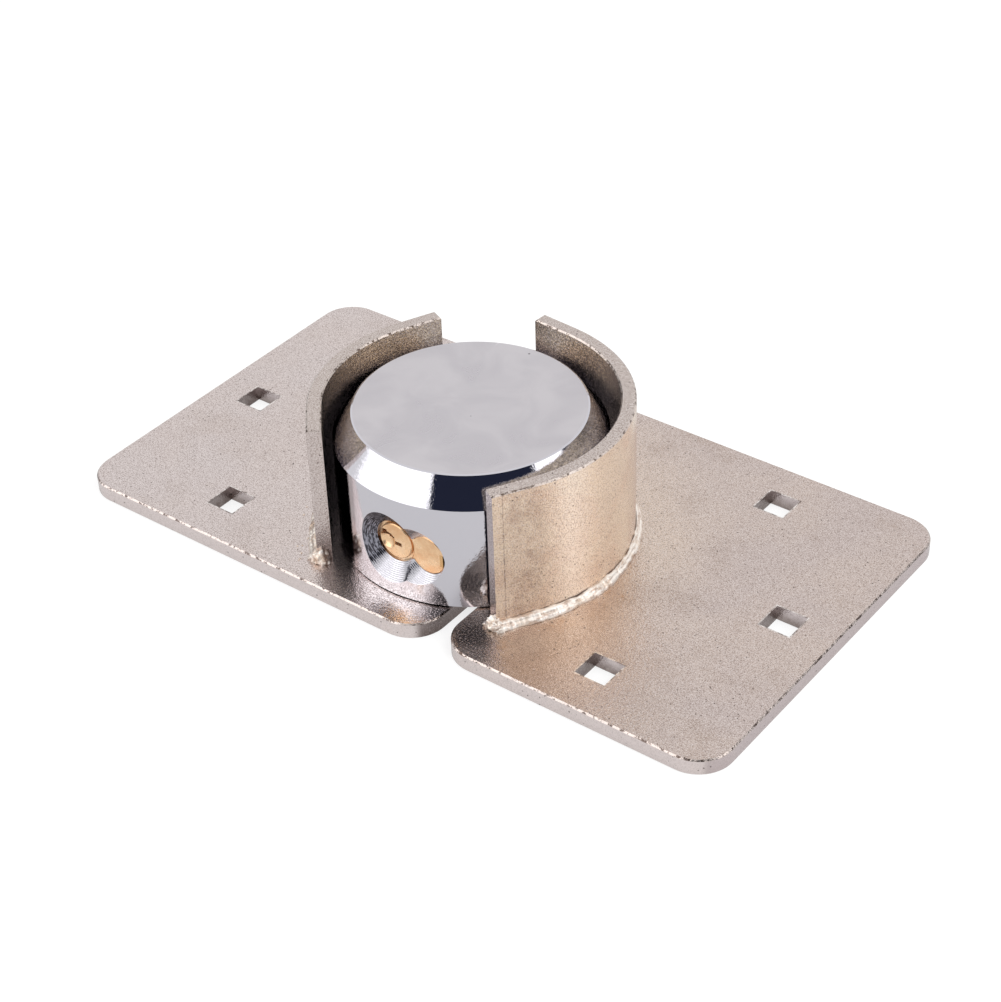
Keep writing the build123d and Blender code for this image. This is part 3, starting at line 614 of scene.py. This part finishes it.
def chrome_body():
    """Mirror chrome, a satin, faintly scratched top, and painted dark reflections and rings in the key
    recess.
    """
    material, graph, place, shader = new_material("chrome_body")
    x, y, z = graph.parts(place)
    level = graph.ramp(graph.true_normal()[2], *TOP_RISE)
    top = graph.times(level, graph.ramp(z, lock_high.z - TOP_DEPTH[0], lock_high.z - TOP_DEPTH[1]))
    tone, scratch, mottle = chrome_top(graph, place, top)
    # Rings about each lobe's axis, on the cone between the cylinder and the side
    key_height = graph.math("SUBTRACT", z, key_z)
    first = graph.distance(x, key_height)
    second = graph.distance(graph.math("SUBTRACT", x, lobe_x), key_height)
    ring = graph.math("MINIMUM", first, second)
    from_middle = graph.distance(x, graph.math("SUBTRACT", y, lock_middle.y))
    inside = graph.ramp(from_middle, lock_radius - RECESS_SKIN[0], lock_radius - RECESS_SKIN[1], 1.0, 0.0)
    close = graph.ramp(ring, *RECESS_REACH, 1.0, 0.0)
    ahead = graph.ramp(y, cylinder_front, cylinder_front + RECESS_DEPTH, 1.0, 0.0)
    recess = graph.times(inside, close, ahead)
    # Painted reflections: dark streaks along the rings, above and to the left
    turn = graph.math("ARCTAN2", key_height, x)
    sockets = {"X": ring, "Y": graph.times(turn, RECESS_REFLECTION_LENGTH)}
    unrolled = graph.add("ShaderNodeCombineXYZ", sockets).outputs[0]
    reflection_tone = graph.mix(graph.mask(unrolled, RECESS_REFLECTION_STREAKS), RECESS_REFLECTION_DARK, RECESS_REFLECTION_STREAKS.tone)
    upper = graph.ramp(graph.math("SUBTRACT", key_height, x), *RECESS_REFLECTION_START)
    tone = graph.mix(graph.times(recess, upper, RECESS_REFLECTION_STREAKS.share), tone, reflection_tone)
    # A painted reflection: a ragged dark streak below, where the two lobes meet
    ragged = graph.times(graph.noise(place, WAIST), WAIST_WANDER)
    from_waist = graph.math("ADD", graph.math("SUBTRACT", x, lobe_x / 2), ragged)
    below = graph.ramp(key_height, *WAIST_START, 1.0, 0.0)
    streak = graph.times(graph.near(from_waist, WAIST_PLACE, WAIST_REACH), below)
    graph.put(shader, "Base Color", graph.mix(graph.times(recess, streak), tone, WAIST_REFLECTION_TONE))
    rough_top = graph.ramp(mottle, *NOISE_MIDDLE, *TOP_ROUGHNESS)
    rough_side = graph.math("ADD", graph.times(recess, RECESS_ROUGHNESS), SIDE_ROUGHNESS)
    graph.put(shader, "Roughness", graph.math("ADD", graph.times(top, rough_top), rough_side))
    # Relief: the side's faint waves, the turning marks, and the scratches
    wobble = graph.times(graph.noise(place, MARK_WOBBLE), MARK_WOBBLE_SHARE)
    turned = graph.math("ADD", graph.times(ring, 2 * math.pi / MARK_PITCH), wobble)
    marks = graph.times(graph.math("SINE", turned), recess)
    wave = graph.noise(place, WAVE)
    ripple = bump(graph, wave, WAVE_RELIEF, WAVE_SHARPNESS)
    ringed = bump(graph, marks, MARK_RELIEF, MARK_SHARPNESS, ripple)
    graph.put(shader, "Normal", bump(graph, scratch, SCRATCH_RELIEF, SCRATCH_SHARPNESS, ringed))
    return material


# Brass and bare steel
BRASS_METALLIC = 0.8
BRASS_MOTTLE = Layer(260.0, 4.0, 0.6)
BRASS_ROUGH_RANGE = (0.2, 0.8)
BRASS_ROUGH_SPREAD = 0.1
BRASS_FINE = Layer(2600.0, 2.0, 0.6)
STEEL_FINE = Layer(1800.0, 3.0, 0.6)
STEEL_SHADE = Layer(140.0, 3.0, 0.6, *NOISE_MIDDLE, colour(110, 106, 104), 0.35)
STEEL_ROUGH_SPREAD = 0.14
MACHINED_RELIEF = 0.04 * MM
MACHINED_SHARPNESS = 0.4


def brass(name, tone_low, tone_high, roughness):
    """Slightly mottled brass, between two tones."""
    material, graph, place, shader = new_material(name, BRASS_METALLIC)
    mottle = graph.noise(place, BRASS_MOTTLE)
    graph.put(shader, "Base Color", graph.mix(graph.ramp(mottle, *NOISE_MIDDLE), tone_low, tone_high))
    rough = graph.ramp(mottle, *BRASS_ROUGH_RANGE, roughness, roughness + BRASS_ROUGH_SPREAD)
    graph.put(shader, "Roughness", rough)
    fine = graph.noise(place, BRASS_FINE)
    graph.put(shader, "Normal", bump(graph, fine, MACHINED_RELIEF, MACHINED_SHARPNESS))
    return material


def machined_steel(name, tone, roughness):
    """Bare steel, a little darker in wide patches."""
    material, graph, place, shader = new_material(name)
    fine = graph.noise(place, STEEL_FINE)
    wide = graph.noise(place, STEEL_SHADE)
    shade = graph.ramp(wide, STEEL_SHADE.low, STEEL_SHADE.high, 0.0, STEEL_SHADE.share)
    graph.put(shader, "Base Color", graph.mix(shade, tone, STEEL_SHADE.tone))
    rough = graph.ramp(fine, *NOISE_MIDDLE, roughness, roughness + STEEL_ROUGH_SPREAD)
    graph.put(shader, "Roughness", rough)
    graph.put(shader, "Normal", bump(graph, fine, MACHINED_RELIEF, MACHINED_SHARPNESS))
    return material


def dress_nodes():
    """Every CAD node but the weld beads gets its finish."""
    left = leaf_plate("left_leaf_plate", tint=colour(218, 207, 205), warm_tint=colour(216, 200, 192),
                      warm_share=0.2)
    right = leaf_plate("right_leaf_plate", tint=colour(206, 191, 186), warm_tint=colour(225, 205, 188),
                       warm_share=0.75)
    give(left, "left_leaf")
    give(right, "right_leaf")
    give(guard_plate(), "left_guard", "right_guard")
    give(chrome_body(), "lock_body", "bore_plug", "base_cover")
    give(brass("plug_brass", colour(234, 186, 140), colour(252, 218, 178), roughness=0.2), "key_plug",
         "cylinder_housing")
    pins = [f"{stem}_{index}" for stem in ("key_pin", "driver_pin") for index in range(1, 6)]
    give(brass("pin_brass", colour(206, 160, 104), colour(232, 194, 142), roughness=0.3),
         "chamber_cover", *pins)
    screws = [f"base_screw_{index}" for index in range(1, 5)]
    springs = [f"pin_spring_{index}" for index in range(1, 6)]
    give(machined_steel("screw_steel", colour(176, 174, 172), roughness=0.3), "cylinder_grub_screw",
         "pinion_screw", "plug_clip", *screws, *springs)
    give(machined_steel("hard_steel", colour(188, 186, 186), roughness=0.28), "left_eye", "right_eye",
         "lock_bolt", "bolt_rack", "drive_pinion")


# Weld beads

BEAD_STEP = 0.16 * MM
BEAD_SIDES = 14
BEAD_PITCH = 1.5 * MM
BEAD_START_LEG = 2.5 * MM
BEAD_END_LEG = 1.7 * MM
BEAD_LEG_RATE = 1.6
BEAD_TAPER = 4 * MM
BEAD_TIP = 0.25
BEAD_RISE = 0.9
BEAD_FLATNESS = 0.16
BEAD_ROOT = 0.1 * MM
RIPPLE_BOW = 0.45
RIPPLE_WANDER = 0.9
RIPPLE_WANDER_SCALE = 230
RIPPLE_SHARPNESS = 0.7
RIPPLE_MIDDLE = 0.6
RIPPLE_SHARE = 0.035
LUMP_SCALE = 620
LUMP_SHARE = 0.08
SWELLING_SCALE = 190
SWELLING_SHARE = 0.26

# Fractal noise: its dimension, the step between its scales, and how many scales it has
BEAD_FRACTAL = (0.7, 2.0, 4)
BLOB_FRACTAL = (0.9, 2.0, 3)

# The blob at each bead's start, made of two lumps, and the spatter. Their sizes are in millimetres
BLOB_INWARD = 0.9
BLOB_SHIFT = Vector((0, -0.2, 0.2))
BLOB_SIZE = Vector((2.8, 2.3, 3.0))
BLOB_UNEVENNESS = 0.42
SECOND_SHIFT = Vector((1.3, -0.3, -0.2))
SECOND_SIZE = Vector((2.0, 1.7, 2.1))
SECOND_UNEVENNESS = 0.5
SECOND_SEED = 5
LUMP_WAVE = 1.9
LUMP_SINK = 0.15
LARGE_FINENESS = 4
SMALL_FINENESS = 2
SPATTER_AWAY = (2.6, 5.5)
SPATTER_SIZE = (0.16, 0.36)
SPATTER_FLATNESS = 0.8
SPATTER_UNEVENNESS = 0.2
SPATTER_CROWDING = 1.6
SPATTER_SPAN = 0.9


def guard_foot(gap, angles, from_first):
    """Places along the guard's outer foot, each with its outward direction, from the front end."""
    radius = lock_radius + gap + GUARD_THICKNESS
    start, end = (math.radians(angle) for angle in angles)
    arc_length = radius * (end - start)
    total = arc_length + 2 * GUARD_END_STRAIGHT
    steps = int(total / BEAD_STEP)
    for step in range(steps + 1):
        share = step / steps if from_first else 1 - step / steps
        along = share * total - GUARD_END_STRAIGHT
        angle = start + min(max(along, 0.0), arc_length) / radius
        outward = Vector((math.cos(angle), math.sin(angle), 0))
        ahead = Vector((-math.sin(angle), math.cos(angle), 0))
        past = along if along < 0 else max(along - arc_length, 0.0)
        middle = Vector((0, lock_middle.y, leaf_top))
        yield middle + outward * radius + ahead * past, outward, step * total / steps, total


def bead_height(place, along, across, seed):
    """How far the bead stands out: ripples bowed towards its start, and lumps."""
    bow = (2 * across - 1) ** 2
    wander = noise.noise(Vector((along * RIPPLE_WANDER_SCALE, seed, 0)))
    phase = along / BEAD_PITCH + RIPPLE_BOW * bow + RIPPLE_WANDER * wander
    ripple = abs(math.sin(math.pi * phase)) ** RIPPLE_SHARPNESS
    lump = noise.fractal(place * LUMP_SCALE, *BEAD_FRACTAL)
    swelling = noise.noise(place * SWELLING_SCALE + Vector((seed, 0, 0)))
    return (1.0 + RIPPLE_SHARE * (ripple - RIPPLE_MIDDLE) + LUMP_SHARE * lump
            + SWELLING_SHARE * swelling)


def add_bead(mesh, gap, angles, from_first, seed):
    """A closed, quarter-round bead along the foot, with its root inside the guard and leaf."""
    rings = []
    for place, outward, along, total in guard_foot(gap, angles, from_first):
        leg = BEAD_START_LEG + (BEAD_END_LEG - BEAD_START_LEG) * min(1.0, along / total * BEAD_LEG_RATE)
        taper = min(1.0, BEAD_TIP + (total - along) / BEAD_TAPER)
        ring = []
        for index in range(BEAD_SIDES + 1):
            across = index / BEAD_SIDES
            angle = across * math.pi / 2
            reach = leg * taper * bead_height(place, along, across, seed)
            flat = 1 - BEAD_FLATNESS + BEAD_FLATNESS * abs(math.cos(2 * angle))
            rise = Vector((0, 0, 1)) * math.cos(angle) * BEAD_RISE
            ring.append(mesh.verts.new(place + (outward * math.sin(angle) + rise) * reach * flat))
        ring.append(mesh.verts.new(place - outward * BEAD_ROOT - Vector((0, 0, BEAD_ROOT))))
        rings.append(ring)
    count = len(rings[0])
    for low, high in zip(rings, rings[1:]):
        for index in range(count):
            after = (index + 1) % count
            mesh.faces.new((low[index], low[after], high[after], high[index]))
    mesh.faces.new(rings[0])
    mesh.faces.new(list(reversed(rings[-1])))


def add_lump(mesh, middle, size, seed, unevenness):
    """A closed, uneven lump of metal that sits on the leaf."""
    fineness = LARGE_FINENESS if size.x > MM else SMALL_FINENESS
    made = bmesh.ops.create_icosphere(mesh, subdivisions=fineness, radius=1.0)
    for vert in made["verts"]:
        away = vert.co.copy()
        field = noise.fractal(away * LUMP_WAVE + Vector((seed, seed, 0)), *BLOB_FRACTAL)
        uneven = 1 + unevenness * field
        place = Vector((away.x * size.x, away.y * size.y, away.z * size.z)) * uneven
        place.z = max(place.z, -LUMP_SINK * MM)
        vert.co = middle + place


def add_weld(node, gap, angles, from_first, seed, spatter):
    """The bead, blob and spatter that replace one plain bead of the CAD model."""
    mesh = bmesh.new()
    add_bead(mesh, gap, angles, from_first, seed)
    first, outward, _, _ = next(iter(guard_foot(gap, angles, from_first)))
    blob = first - outward * BLOB_INWARD * MM + BLOB_SHIFT * MM
    add_lump(mesh, blob, BLOB_SIZE * MM, seed, BLOB_UNEVENNESS)
    add_lump(mesh, blob + SECOND_SHIFT * MM, SECOND_SIZE * MM, seed + SECOND_SEED, SECOND_UNEVENNESS)
    draw = random.Random(seed)
    feet = list(guard_foot(gap, angles, from_first))
    for index in range(spatter):
        place, outward, _, _ = feet[int(len(feet) * draw.random() ** SPATTER_CROWDING * SPATTER_SPAN)]
        away = draw.uniform(*SPATTER_AWAY) * MM
        size = draw.uniform(*SPATTER_SIZE) * MM
        shape = Vector((size, size, size * SPATTER_FLATNESS))
        add_lump(mesh, place + outward * away, shape, seed + index, SPATTER_UNEVENNESS)
    bmesh.ops.recalc_face_normals(mesh, faces=mesh.faces)
    data = bpy.data.meshes.new(f"{node}_bead")
    mesh.to_mesh(data)
    mesh.free()
    for polygon in data.polygons:
        polygon.use_smooth = True
    bead = bpy.data.objects.new(f"{node}_bead", data)
    bpy.context.scene.collection.objects.link(bead)
    data.materials.append(weld_metal(f"{node}_metal", gap))
    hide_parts(node)
    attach(bead, "hasp_and_case")


# Camera, floor and light

def add_camera():
    """The photograph's view."""
    azimuth = math.radians(CAMERA_AZIMUTH)
    elevation = math.radians(CAMERA_ELEVATION)
    roll = math.radians(CAMERA_ROLL)
    level = math.cos(elevation)
    forward = Vector((-math.sin(azimuth) * level, math.cos(azimuth) * level, -math.sin(elevation)))
    right = Vector((math.cos(azimuth), math.sin(azimuth), 0))
    up = right.cross(forward)
    right, up = (right * math.cos(roll) + up * math.sin(roll), up * math.cos(roll) - right * math.sin(roll))
    data = bpy.data.cameras.new("camera")
    data.sensor_fit = "HORIZONTAL"
    data.sensor_width = SENSOR_WIDTH
    data.lens = FOCAL_PIXELS * SENSOR_WIDTH / IMAGE_WIDTH
    camera = bpy.data.objects.new("camera", data)
    turn = Matrix((right, up, -forward)).transposed().to_4x4()
    camera.matrix_world = Matrix.Translation(CAMERA_PLACE) @ turn
    bpy.context.scene.collection.objects.link(camera)
    bpy.context.scene.camera = camera


# The dark band, by height and by turn to the right of the camera in radians
BAND_HEIGHT = 0.565
BAND_FALL = 0.11
BAND_EDGE = (0.1, 0.13)
BAND_LEFT = (-0.67, -0.63)
BAND_RIGHT = (1.85, 2.1)
BAND_TONE = (0.02, 0.024, 0.045, 1.0)

# Soft-edged fields of the room, two dark and two bright: the left and right edges, then the lower
# and upper ones
STAND = ((-0.62, -0.56), (-0.16, -0.1), (0.12, 0.16), (0.5, 0.55))
LOW_STRETCH = ((-2.8, -2.6), (-2.1, -2.0), (-0.2, -0.1), (0.16, 0.2))
LEFT_BOX = ((-2.1, -1.9), (-0.67, -0.63), (0.2, 0.24), (0.76, 0.8))
RIGHT_BOX = ((0.98, 1.06), (1.5, 1.56), (0.26, 0.32), (0.8, 0.84))


def field_mask(graph, turned, rise, edges):
    """1 within the field's four soft edges, 0 outside them."""
    left, right, low, high = edges
    return graph.times(graph.ramp(turned, *left), graph.ramp(turned, *right, 1.0, 0.0),
                       graph.ramp(rise, *low), graph.ramp(rise, *high, 1.0, 0.0))


def grey(level):
    return (level, level, level, 1.0)


def add_world():
    """A pale room, with a softbox at each side of the camera and a dark band round to its right."""
    world = bpy.data.worlds.new("studio")
    world.use_nodes = True
    bpy.context.scene.world = world
    graph = Graph(world.node_tree)
    x, y, rise = graph.parts(graph.add("ShaderNodeTexCoord").outputs["Generated"])
    azimuth = graph.math("ARCTAN2", x, graph.math("MULTIPLY", y, -1.0))
    turned = graph.math("SUBTRACT", azimuth, math.radians(CAMERA_AZIMUTH))
    # The dark band lowers as it goes round to either side
    middle = graph.math("SUBTRACT", BAND_HEIGHT, graph.times(turned, turned, BAND_FALL))
    away = graph.math("ABSOLUTE", graph.math("SUBTRACT", rise, middle))
    dark = graph.times(graph.ramp(away, *BAND_EDGE, 1.0, 0.0), graph.ramp(turned, *BAND_LEFT),
                       graph.ramp(turned, *BAND_RIGHT, 1.0, 0.0))
    # A narrow dark stand beside the camera, and a dark low stretch at the far left
    stand = field_mask(graph, turned, rise, STAND)
    low = field_mask(graph, turned, rise, LOW_STRETCH)
    dark = graph.math("MAXIMUM", dark, graph.math("MAXIMUM", stand, low))
    left_box = field_mask(graph, turned, rise, LEFT_BOX)
    right_box = field_mask(graph, turned, rise, RIGHT_BOX)
    box = graph.math("MAXIMUM", left_box, right_box)
    path = graph.add("ShaderNodeLightPath")
    plain = grey(WORLD_LEVEL)
    mirror = graph.mix(dark, plain, BAND_TONE)
    mirror = graph.mix(box, mirror, grey(SOFTBOX_LEVEL))
    room = graph.mix(path.outputs["Is Glossy Ray"], plain, mirror)
    seen = graph.math("MAXIMUM", path.outputs["Is Camera Ray"], path.outputs["Is Transmission Ray"])
    tone = graph.mix(seen, room, grey(1.0))
    background = graph.add("ShaderNodeBackground", {"Color": tone, "Strength": 1.0})
    output = graph.add("ShaderNodeOutputWorld")
    graph.tree.links.new(background.outputs[0], output.inputs["Surface"])


# The floor's greys, and its glow as the camera and as a mirror sees it
FLOOR_GREY = 0.8
FLOOR_MATTE = 0.3
FLOOR_GLOW_SEEN = 0.75
FLOOR_GLOW_MIRRORED = 0.45


def add_floor():
    """A white floor, which glows where the camera or a mirror sees it."""
    mesh = bmesh.new()
    bmesh.ops.create_grid(mesh, x_segments=2, y_segments=2, size=FLOOR_SIZE / 2)
    data = bpy.data.meshes.new("floor")
    mesh.to_mesh(data)
    mesh.free()
    floor = bpy.data.objects.new("floor", data)
    bpy.context.scene.collection.objects.link(floor)
    floor.location.z = -FLOOR_DROP
    material = bpy.data.materials.new("floor_white")
    material.use_nodes = True
    graph = Graph(material.node_tree)
    path = graph.add("ShaderNodeLightPath")
    seen = graph.math("MAXIMUM", path.outputs["Is Camera Ray"], path.outputs["Is Transmission Ray"])

    def lit(glow):
        matte = graph.add("ShaderNodeBsdfDiffuse", {"Color": grey(FLOOR_MATTE)})
        light = graph.add("ShaderNodeEmission", {"Color": grey(1.0), "Strength": glow})
        return graph.add("ShaderNodeAddShader", {0: matte.outputs[0], 1: light.outputs[0]}).outputs[0]

    plain = graph.add("ShaderNodeBsdfDiffuse", {"Color": grey(FLOOR_GREY)}).outputs[0]
    sockets = {0: path.outputs["Is Glossy Ray"], 1: plain, 2: lit(FLOOR_GLOW_MIRRORED)}
    mirrored = graph.add("ShaderNodeMixShader", sockets).outputs[0]
    surface = graph.add("ShaderNodeMixShader", {0: seen, 1: mirrored, 2: lit(FLOOR_GLOW_SEEN)})
    output = graph.add("ShaderNodeOutputMaterial")
    graph.tree.links.new(surface.outputs[0], output.inputs["Surface"])
    floor.data.materials.append(material)


def add_lamp(name, azimuth, elevation, distance, size, power):
    """A soft rectangular lamp that faces the lock."""
    data = bpy.data.lights.new(name, "AREA")
    data.shape = "RECTANGLE"
    data.size = size[0]
    data.size_y = size[1]
    data.energy = power
    lamp = bpy.data.objects.new(name, data)
    turn, rise = math.radians(azimuth), math.radians(elevation)
    away = Vector((math.sin(turn) * math.cos(rise), -math.cos(turn) * math.cos(rise), math.sin(rise)))
    lamp.location = away * distance
    lamp.rotation_euler = (-away).to_track_quat("-Z", "Y").to_euler()
    lamp.visible_glossy = False
    bpy.context.scene.collection.objects.link(lamp)


dress_nodes()
add_weld("left_guard_weld", LEFT_GUARD_GAP, LEFT_GUARD_ANGLES, from_first=False, seed=3, spatter=10)
add_weld("right_guard_weld", RIGHT_GUARD_GAP, RIGHT_GUARD_ANGLES, from_first=True, seed=8, spatter=4)
add_camera()
add_world()
add_floor()
add_lamp("key_lamp", azimuth=90.0, elevation=50.0, distance=1.2, size=(0.8, 0.8), power=6.0)

bpy.context.scene.view_settings.view_transform = "Standard"
